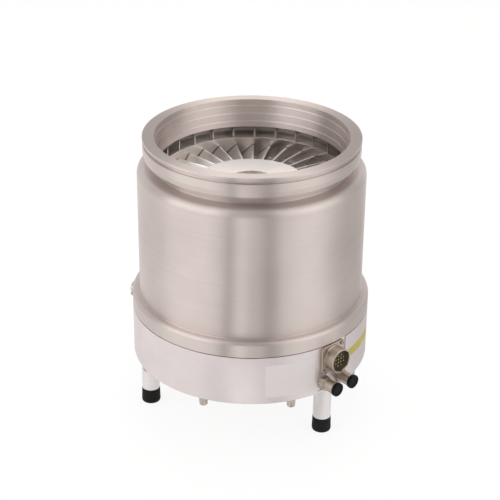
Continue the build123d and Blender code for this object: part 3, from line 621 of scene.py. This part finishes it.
lips = [slab(lip * side, LIP_BACK, LIP_FRONT, 0.6) for side in (1, -1)]
screw_surfaces = [moved(surface, (0, 0, VENT_Z), FORWARD, VENT_AZIMUTH)
                  for surface in (vent_disc, *lips)]
make_piece("vent_slotted_screw", screw_surfaces, "vent_knob", "bright_steel", ["vent_screw"])

# %% [markdown]
# ## Feet and nuts
# Three satin posts with rubber tips carry the pump. The eight tie bolts that close the stack end
# in domed nuts under the base. A domed nut is a lathe outline whose middle part takes the hexagon.

# %% Feet and domed nuts
TIP_TOP = FLOOR + 17.5
FOOT_PLACE, FOOT_AZIMUTHS = (0, -117.5, 0), (0, 120, 240)
POST_R, RUBBER_R = 10.0, 10.3
post = moved(lathe(outline((0, TIP_TOP), (POST_R, TIP_TOP, 0.4), (POST_R, BASE_BOTTOM),
                           (0, BASE_BOTTOM))), FOOT_PLACE)
make_piece("foot_columns", around(post, FOOT_AZIMUTHS), "pump_body", "post_aluminium",
           ["foot_posts"])
tip = moved(lathe(outline((0, FLOOR), (RUBBER_R, FLOOR, 1.6), (RUBBER_R + 0.5, FLOOR + 2.5, 1.0),
                          (RUBBER_R, TIP_TOP, 0.7), (0, TIP_TOP))), FOOT_PLACE)
make_piece("rubber_tips", around(tip, FOOT_AZIMUTHS), "pump_body", "black_rubber", ["foot_tips"])

NUT_PLACE, NUT_AZIMUTHS = (0, -125.0, 0), 22.5 + 45.0 * np.arange(8)
WASHER_R, NUT_R, DOME_R, NUT_END = 6.2, 5.5, 4.6, BASE_BOTTOM - 12.5
nut_profile = outline(
    (0, BASE_BOTTOM), (WASHER_R, BASE_BOTTOM, 0.2), (WASHER_R, BASE_BOTTOM - 1.6, 0.5),
    (NUT_R, BASE_BOTTOM - 1.8), (NUT_R, BASE_BOTTOM - 6.3), (DOME_R, BASE_BOTTOM - 7.2, 0.3),
    (DOME_R, NUT_END, 4.3), (0, NUT_END))
nut = reshaped(lathe(nut_profile, even_turns(72)),
               hexagon(NUT_R * math.cos(math.pi / 6), BASE_BOTTOM - 7.0, BASE_BOTTOM - 1.75))
make_piece("domed_nuts", around(moved(nut, NUT_PLACE), NUT_AZIMUTHS), "pump_body",
           "bright_steel", ["tie_bolt_nuts"])

# %% [markdown]
# ## Labels
# Two film labels are stuck round the base: a white one beside the connector and a short yellow
# strip. Both are left bare. A label is a thin closed sheet in flat measures, distance along the
# wall and height, with rounded corners; then the flat sheet is bent: the angle is the distance
# over the radius.

# %% Labels
def label_surface(azimuth_from, azimuth_to, low, high, corner=2.0, lift=0.2):
    """Sheet whose half width shrinks to w - c + sqrt(c * c - d * d) near its top and bottom, where
    d is the depth into the corner c; a point s along it lies at the angle s / R."""
    half = math.radians(azimuth_to - azimuth_from) / 2 * WIDE_R
    curve = corner * (1 - np.cos(np.linspace(0, np.pi / 2, 7)))
    heights = np.concatenate([low + curve, np.linspace(low, high, 9)[1:-1], high - curve[::-1]])
    heights = np.unique(np.round(heights, 4))
    depth = np.clip(np.maximum(low + corner - heights, heights - (high - corner)), 0, corner)
    width = half - corner + np.sqrt(corner ** 2 - depth ** 2)
    across = np.linspace(-1, 1, 41)
    front = [np.column_stack([w * across, z + 0 * across, lift + 0 * across])
             for w, z in zip(width, heights)]
    flat = np.array(front + [row * (1, 1, -1) for row in front[::-1]])
    angle = flat[..., 0] / WIDE_R - np.pi / 2 + math.radians((azimuth_from + azimuth_to) / 2)
    radius = WIDE_R + flat[..., 2]
    points = np.stack([radius * np.cos(angle), radius * np.sin(angle), flat[..., 1]], -1)
    rows, columns = points.shape[:2]
    number = np.arange(rows * columns).reshape(rows, columns)
    loop = np.vstack([number, number[:1]])
    sheet = np.stack([loop[:-1, :-1], loop[1:, :-1], loop[1:, 1:], loop[:-1, 1:]], -1)
    half_rows = rows // 2
    ends = []
    for column in (0, columns - 1):
        front_side, back_side = number[:half_rows, column], number[half_rows:, column][::-1]
        ends.append(np.stack([front_side[:-1], front_side[1:], back_side[1:], back_side[:-1]], -1))
    faces = np.concatenate([sheet.reshape(-1, 4), *ends])
    uv = (flat[..., :2].reshape(-1, 2) * MM)[faces].reshape(-1, 2)
    return points, faces, uv


white = label_surface(azimuth_from=-36.7, azimuth_to=-12.2, low=-251.8, high=-211.8)
make_piece("white_label", [white], "pump_body", "label_film", ["rating_label"])
yellow = label_surface(azimuth_from=10.8, azimuth_to=36.0, low=-232.4, high=-222.4, corner=1.0)
make_piece("yellow_strip", [yellow], "pump_body", "yellow_film", ["side_label"])

# %% [markdown]
# # Materials
# Every finish is built from the same few nodes: a noise or a set of lines at a real size, which
# moves the colour a little, changes the roughness and gives a small bump. One function adds a
# node with its settings and links.

# %% Colours and nodes
def linear(hex_colour):
    """sRGB hex to linear RGBA: below 0.04045, c / 12.92, otherwise ((c + 0.055) / 1.055) ** 2.4."""
    srgb = [int(hex_colour[i:i + 2], 16) / 255 for i in (0, 2, 4)]
    return (*[c / 12.92 if c <= 0.04045 else ((c + 0.055) / 1.055) ** 2.4 for c in srgb], 1.0)


def add(tree, kind, inputs=None, **settings):
    """A node of a kind in a node tree; an input is a number, a colour or another's socket."""
    node = tree.nodes.new("ShaderNode" + kind)
    for name, value in settings.items():
        setattr(node, name, value)
    for socket, value in (inputs or {}).items():
        if isinstance(value, bpy.types.NodeSocket):
            tree.links.new(value, node.inputs[socket])
        else:
            node.inputs[socket].default_value = value
    return node


MATERIALS = {}
FIRST_COLOUR, SECOND_COLOUR, MIXED_COLOUR = 6, 7, 2  # a Mix node's colour inputs and output


def begin(name):
    """Make a material without any nodes and give its tree, to add them to."""
    material = bpy.data.materials.new(name)
    material.use_nodes = True
    material.node_tree.nodes.clear()
    MATERIALS[name] = material
    return material.node_tree


# %% [markdown]
# ## Grainy finishes
# Blasted, moulded, ground and plated surfaces differ in colour, gloss and grain size, but are
# built the same way: a fine noise at the grain's size for the bump, and a broad one for the slow
# change of colour and gloss that handling gives.

# %% A finish with a fine grain
BROAD_MM = 45


def grainy(name, colour, worn, metallic, roughness, grain_mm, bump=0.15, stretch=(1, 1, 1),
           painted_shade=None, **shader):
    """A material between two colours; its grain repeats about every grain_mm. A third colour,
    a painted shade, is mixed in where the points carry the painted-shade attribute."""
    tree = begin(name)
    coordinates = add(tree, "TexCoord")
    stretched = add(tree, "Mapping", {"Vector": coordinates.outputs["Object"], "Scale": stretch})
    fine = add(tree, "TexNoise", {"Vector": stretched.outputs[0], "Scale": 1 / (grain_mm * MM),
                                  "Detail": 3.0, "Roughness": 0.6})
    broad = add(tree, "TexNoise", {"Vector": coordinates.outputs["Object"],
                                   "Scale": 1 / (BROAD_MM * MM), "Detail": 4.0})
    mixed = add(tree, "Math", {0: fine.outputs["Fac"], 1: broad.outputs["Fac"]}, operation="ADD")
    share = add(tree, "MapRange", {"Value": mixed.outputs[0], "From Min": 0.75, "From Max": 1.25})
    tint = add(tree, "Mix", {"Factor": share.outputs[0], FIRST_COLOUR: linear(colour),
                             SECOND_COLOUR: linear(worn)}, data_type="RGBA")
    if painted_shade:
        marked = add(tree, "Attribute", attribute_name="painted_shade")
        tint = add(tree, "Mix", {"Factor": marked.outputs["Fac"],
                                 FIRST_COLOUR: tint.outputs[MIXED_COLOUR],
                                 SECOND_COLOUR: linear(painted_shade)}, data_type="RGBA")
    gloss = add(tree, "MapRange", {"Value": share.outputs[0], "To Min": roughness * 0.88,
                                   "To Max": roughness * 1.12})
    relief = add(tree, "Bump", {"Height": fine.outputs["Fac"], "Strength": bump,
                                "Distance": grain_mm * MM * 0.25})
    surface = add(tree, "BsdfPrincipled", {
        "Base Color": tint.outputs[MIXED_COLOUR], "Metallic": metallic,
        "Roughness": gloss.outputs[0], "Normal": relief.outputs[0], **shader})
    add(tree, "OutputMaterial", {"Surface": surface.outputs[0]})


# Cast aluminium, milled and then fine bead-blasted: even, pale and matt.
grainy("base_aluminium", "EAE1E0", "E0D7D6", 1.0, 0.52, 0.6, bump=0.12)
# Freshly milled aluminium: bright, with a soft sheen.
grainy("milled_aluminium", "F8F4F1", "ECE6E3", 1.0, 0.45, 0.9, bump=0.10)
# Turned aluminium rings of the stack, a little duller; the third colour is painted shade for the
# lugs.
grainy("ring_aluminium", "CFC6BE", "B9AFA7", 1.0, 0.26, 0.5, bump=0.05, painted_shade="8E847B")
# Satin anodised posts, drawn along their length.
grainy("post_aluminium", "F0EBEA", "E6E0DF", 1.0, 0.48, 0.5, bump=0.10, stretch=(1, 1, 0.1))
# Stainless screws, nuts and valve parts, tumbled smooth.
grainy("bright_steel", "C4BBB3", "B0A69D", 1.0, 0.34, 0.4, bump=0.08)
# Nickel plate on turned brass: warm, with soft gloss.
grainy("nickel_brass", "CBBFB2", "B6A99B", 1.0, 0.42, 0.5, bump=0.08)
# Ground bearing steel and shaft.
grainy("ground_steel", "D5D5D5", "C4C4C6", 1.0, 0.18, 0.3, bump=0.05)
# Silicon nitride balls: polished, nearly black.
grainy("ceramic_ball", "2A2A2C", "333336", 0.0, 0.08, 0.2, bump=0.02, IOR=2.0)
# Stacked electrical sheet, dull grey.
grainy("lamination_steel", "6E6E72", "5B5B60", 1.0, 0.55, 0.5, bump=0.3, stretch=(0.1, 0.1, 1))
# Sintered magnet in a thin sleeve.
grainy("magnet_steel", "8A8A8E", "7A7A80", 1.0, 0.35, 0.5)
# Varnished copper wire: copper seen through clear lacquer, wound in bundles.
grainy("winding_copper", "C07A48", "9C5A32", 0.8, 0.35, 1.2, bump=0.5, stretch=(0.3, 0.3, 1))
# Gold flash on the contacts.
grainy("contact_gold", "D0BF93", "BFAD84", 1.0, 0.25, 0.3, bump=0.04)
# Drawn copper tube, slightly dulled.
grainy("tube_copper", "C98362", "A9654A", 1.0, 0.32, 0.8)
# Black nitrile rubber, moulded: matt with a faint bloom.
grainy("black_rubber", "141212", "1A1817", 0.0, 0.75, 0.5, bump=0.25,
       **{"Specular IOR Level": 0.25})
# Fluorocarbon sealing rings.
grainy("seal_rubber", "1E1C1B", "262322", 0.0, 0.50, 0.6, bump=0.15)
# Soft polythene dust caps, moulded black.
grainy("black_plastic", "060606", "0A0A0A", 0.0, 0.50, 0.8, bump=0.10,
       **{"Specular IOR Level": 0.15})
# The connector's insert: pressed grey-green glass and resin.
grainy("insert_glass", "605E52", "4C4A3F", 0.0, 0.45, 0.4, bump=0.15)
# Moulded polymer cage.
grainy("cage_polymer", "8C7350", "7C6444", 0.0, 0.45, 0.6)
# Silicone insulation of the motor's leads.
grainy("lead_insulation", "7A2E28", "6B2722", 0.0, 0.50, 0.6)
# Wound carbon fibre tube in clear resin: near black, with fibres that run round it.
grainy("carbon_sleeve", "17181A", "2C2D30", 0.0, 0.30, 1.5, bump=0.25, stretch=(0.15, 0.15, 1),
       **{"Coat Weight": 0.6, "Coat Roughness": 0.12})
# Printed polyester film, bare: satin white.
grainy("label_film", "E8E1E0", "E3DCDB", 0.0, 0.42, 0.5, bump=0.05)
# Printed polyester film, bare: yellow.
grainy("yellow_film", "C6B750", "BDAE48", 0.0, 0.45, 0.5, bump=0.05)
print(len(MATERIALS), "grainy finishes")

# %% [markdown]
# ## Turned steel
# A lathe leaves fine lines round the work. They are far too fine to see one by one, but they
# spread a highlight across them, so a turned wall shows upright bands of light. The shader's
# anisotropy does that, with its tangent taken from the UV map and turned by a quarter. A few
# broader lines are drawn as a bump: the tool's feed is 0.1 mm on the real wall, and it is drawn
# every 0.9 mm here, because finer lines would not show.

# %% Turned stainless steel
FEED_MM, SLOW_MM = 0.9, 60
tree = begin("turned_steel")
uv = add(tree, "TexCoord").outputs["UV"]
along = add(tree, "Mapping", {"Vector": uv, "Scale": (3.0, 1 / (FEED_MM * MM), 1.0)})
lines = add(tree, "TexNoise", {"Vector": along.outputs[0], "Scale": 1.0, "Detail": 4.0,
                               "Roughness": 0.75})
slow = add(tree, "TexNoise", {"Vector": add(tree, "TexCoord").outputs["Object"],
                              "Scale": 1 / (SLOW_MM * MM), "Detail": 3.0})
shade = add(tree, "Math", {0: lines.outputs["Fac"], 1: slow.outputs["Fac"]}, operation="ADD")
share = add(tree, "MapRange", {"Value": shade.outputs[0], "From Min": 0.7, "From Max": 1.3})
# Painted shade: where the attribute is set, the steel is mixed towards a darker colour and made
# rougher.
painted_shade = add(tree, "Attribute", attribute_name="painted_shade").outputs["Fac"]
turned = add(tree, "Mix", {"Factor": share.outputs[0], FIRST_COLOUR: linear("DFD3CE"),
                           SECOND_COLOUR: linear("D1C5C0")}, data_type="RGBA")
tint = add(tree, "Mix", {"Factor": painted_shade, FIRST_COLOUR: turned.outputs[MIXED_COLOUR],
                         SECOND_COLOUR: linear("ABA199")}, data_type="RGBA")
bare = add(tree, "MapRange", {"Value": lines.outputs["Fac"], "To Min": 0.37, "To Max": 0.49})
gloss = add(tree, "Math", {0: painted_shade, 1: 0.25, 2: bare.outputs[0]}, operation="MULTIPLY_ADD")
relief = add(tree, "Bump", {"Height": lines.outputs["Fac"], "Strength": 0.10,
                            "Distance": 0.05 * MM})
grain_way = add(tree, "Tangent", direction_type="UV_MAP", uv_map="UVMap")
steel = add(tree, "BsdfPrincipled", {
    "Base Color": tint.outputs[MIXED_COLOUR], "Metallic": 1.0, "Roughness": gloss.outputs[0],
    "Normal": relief.outputs[0], "Anisotropic": 0.9, "Anisotropic Rotation": 0.25,
    "Tangent": grain_way.outputs[0]})
add(tree, "OutputMaterial", {"Surface": steel.outputs[0]})
print("turned steel with a line every", FEED_MM, "mm")

# %% Give every piece and every CAD node its finish
slot_of_node = {part["node"]: part["material_slot"] for part in frame["record"]["subparts"]}
for name, node in frame["nodes"].items():
    node.data.materials.clear()
    node.data.materials.append(MATERIALS[slot_of_node[name]])
for piece in bpy.context.scene.objects:
    if piece.type == "MESH" and piece.name not in frame["nodes"]:
        piece.data.materials.append(MATERIALS[piece["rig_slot"]])
print(len(slot_of_node), "CAD nodes have a finish")

# %% [markdown]
# # Floor, light and camera
# The floor is pale and shows as white, and keeps a soft shadow: part of it is a plain matt
# surface, and part is a plain glow that only camera and mirror rays see. The same goes for the
# sky. A studio also has dark parts, such as the gaps between its screens and the unlit room
# behind the camera, so mirror rays that go there meet less light. They give turned metal its
# darker upright bands, and the dark hollow under the inlet flange. One narrow panel below the
# camera is brighter than the rest and gives the body its bright middle column.

# %% Floor
FLOOR_REACH = 6.0
floor_corners = [(x * FLOOR_REACH, y * FLOOR_REACH, FLOOR * MM)
                 for x, y in ((-1, -1), (1, -1), (1, 1), (-1, 1))]
floor_mesh = bpy.data.meshes.new("floor")
floor_mesh.from_pydata(floor_corners, [], [(0, 1, 2, 3)])
floor = bpy.data.objects.new("floor", floor_mesh)
bpy.context.scene.collection.objects.link(floor)
print("floor", 2 * FLOOR_REACH, "m wide")


# %% What the studio shows to each ray
CAMERA_AZIMUTH = -43.9
MIRROR_LIGHT = 0.93
STUDIO_GAPS = [  # azimuth from the camera, half angle inside and out, height from and to, light
    (-20, 0.5, 4, -90, 90, 0.7), (18, 3, 9, -90, 90, 0.46),
    (0, 12, 19, 14, 42, 1.0), (108, 18, 42, -90, 90, 0.32), (180, 45, 75, 0, 36, 0.1),
    (-80, 30, 55, 8, 70, 0.35)]
BRIGHT_PANEL = (-8, 1, 6, -80, -8, 0.5)
HEIGHT_EDGE = 6  # degrees


def seen_share(tree):
    """1 for rays from the camera, off a mirror or through glass, otherwise 0; and the ray's
    own node."""
    path = add(tree, "LightPath")
    either = add(tree, "Math", {0: path.outputs["Is Camera Ray"], 1: path.outputs["Is Glossy Ray"]},
                 operation="MAXIMUM")
    return add(tree, "Math", {0: either.outputs[0], 1: path.outputs["Is Transmission Ray"]},
               operation="MAXIMUM").outputs[0], path


def patch(tree, direction, azimuth, inside, outside, low, high, light):
    """Light that one dark gap takes from a direction, or that the bright panel gives to it: the
    product of that light and of smooth steps from 0 to 1. One step is in the cosine of the angle
    to the patch's middle, on the floor plane. Two more are in the height, one rising and one
    falling, each twice HEIGHT_EDGE wide; a patch from -90 degrees covers every height."""
    middle = math.radians(CAMERA_AZIMUTH + azimuth)
    flat = add(tree, "VectorMath", {0: direction, 1: (1, 1, 0)}, operation="MULTIPLY")
    unit = add(tree, "VectorMath", {0: flat.outputs[0]}, operation="NORMALIZE")
    cosine = add(tree, "VectorMath", {0: unit.outputs[0],
                                      1: (math.sin(middle), -math.cos(middle), 0)},
                 operation="DOT_PRODUCT").outputs["Value"]
    steps = [(cosine, math.cos(math.radians(outside)), math.cos(math.radians(inside)))]
    if low > -90:
        whole = add(tree, "VectorMath", {0: direction}, operation="NORMALIZE").outputs[0]
        height = add(tree, "SeparateXYZ", {0: whole}).outputs["Z"]
        steps += [(height, math.sin(math.radians(edge - run)), math.sin(math.radians(edge + run)))
                  for edge, run in ((low, HEIGHT_EDGE), (high, -HEIGHT_EDGE))]
    covers = [add(tree, "MapRange", {"Value": value, "From Min": start, "From Max": end},
                  interpolation_type="SMOOTHSTEP").outputs[0] for value, start, end in steps]
    product = covers[0]
    for factor in (*covers[1:], light):
        product = add(tree, "Math", {0: product, 1: factor}, operation="MULTIPLY").outputs[0]
    return product


def glow(tree, direction):
    """Strength that a ray sees: 1 for the camera; a mirror ray sees the studio's dark gaps,
    and then the bright panel added over them."""
    seen, path = seen_share(tree)
    mirror = MIRROR_LIGHT
    for place in STUDIO_GAPS:
        mirror = add(tree, "Math", {0: mirror, 1: patch(tree, direction, *place)},
                     operation="SUBTRACT", use_clamp=True).outputs[0]
    mirror = add(tree, "Math", {0: mirror, 1: patch(tree, direction, *BRIGHT_PANEL)},
                 operation="ADD").outputs[0]
    chosen = add(tree, "Mix", {"Factor": path.outputs["Is Glossy Ray"], 2: 1.0, 3: mirror})
    return seen, chosen.outputs[0]


# %% Floor's and sky's light
FLOOR_GLOW, GLOW_SHARE, SKY_LIGHT = 1.05, 0.84, 0.65
tree = begin("studio_floor")
seen, strength = glow(tree, add(tree, "TexCoord").outputs["Object"])
matt = add(tree, "BsdfDiffuse", {"Color": linear("E6E4E2")})
bright = add(tree, "Math", {0: strength, 1: FLOOR_GLOW}, operation="MULTIPLY")
lit = add(tree, "Emission", {"Color": (1, 1, 1, 1), "Strength": bright.outputs[0]})
part = add(tree, "Math", {0: seen, 1: GLOW_SHARE}, operation="MULTIPLY")
both = add(tree, "MixShader", {0: part.outputs[0], 1: matt.outputs[0], 2: lit.outputs[0]})
add(tree, "OutputMaterial", {"Surface": both.outputs[0]})
floor_mesh.materials.append(MATERIALS["studio_floor"])

world = bpy.data.worlds.new("studio")
bpy.context.scene.world = world
world.use_nodes = True
tree = world.node_tree
tree.nodes.clear()
seen, strength = glow(tree, add(tree, "TexCoord").outputs["Generated"])
plain = add(tree, "Background", {"Color": (1, 1, 1, 1), "Strength": SKY_LIGHT})
shown = add(tree, "Background", {"Color": (1, 1, 1, 1), "Strength": strength})
both = add(tree, "MixShader", {0: seen, 1: plain.outputs[0], 2: shown.outputs[0]})
add(tree, "OutputWorld", {"Surface": both.outputs[0]})
print("studio with", len(STUDIO_GAPS), "gaps and a bright panel")


# %% Lamps
AIM = np.array([0, 0, -0.13])


def softbox(name, azimuth, height, distance, size, power):
    """A square area lamp that faces the pump's middle; the azimuth runs from -Y towards +X."""
    lamp = bpy.data.lights.new(name, "AREA")
    lamp.size, lamp.energy = size, power
    box = bpy.data.objects.new(name, lamp)
    a = math.radians(azimuth)
    box.location = (distance * math.sin(a), -distance * math.cos(a), height)
    aim = AIM - np.array(box.location)
    box.rotation_euler = (math.acos(aim[2] / -np.linalg.norm(aim)), 0, a)
    bpy.context.scene.collection.objects.link(box)
    print(name, power, "W")


softbox("left_softbox", CAMERA_AZIMUTH - 62, height=0.9, distance=1.8, size=2.0, power=14)
softbox("right_softbox", CAMERA_AZIMUTH + 68, height=0.9, distance=1.8, size=2.0, power=8)
softbox("top_softbox", CAMERA_AZIMUTH + 180, height=1.7, distance=0.7, size=1.3, power=14)

# %% Camera
camera_data = bpy.data.cameras.new("camera")
camera_data.lens, camera_data.sensor_width = 102.2, 36.0
camera = bpy.data.objects.new("camera", camera_data)
AWAY, UP = 1.4275, 0.5781
DOWN, YAW, ROLL = 0.4663, 0.0007, 0.0104
facing = math.radians(CAMERA_AZIMUTH)
camera.matrix_world = (
    Matrix.Translation((AWAY * math.sin(facing), -AWAY * math.cos(facing), UP))
    @ Matrix.Rotation(facing + YAW, 4, "Z")
    @ Matrix.Rotation(math.pi / 2 - DOWN, 4, "X") @ Matrix.Rotation(ROLL, 4, "Z"))
bpy.context.scene.collection.objects.link(camera)
bpy.context.scene.camera = camera
bpy.context.scene.view_settings.view_transform = "Standard"
print("camera at", [round(value, 4) for value in camera.matrix_world.translation])
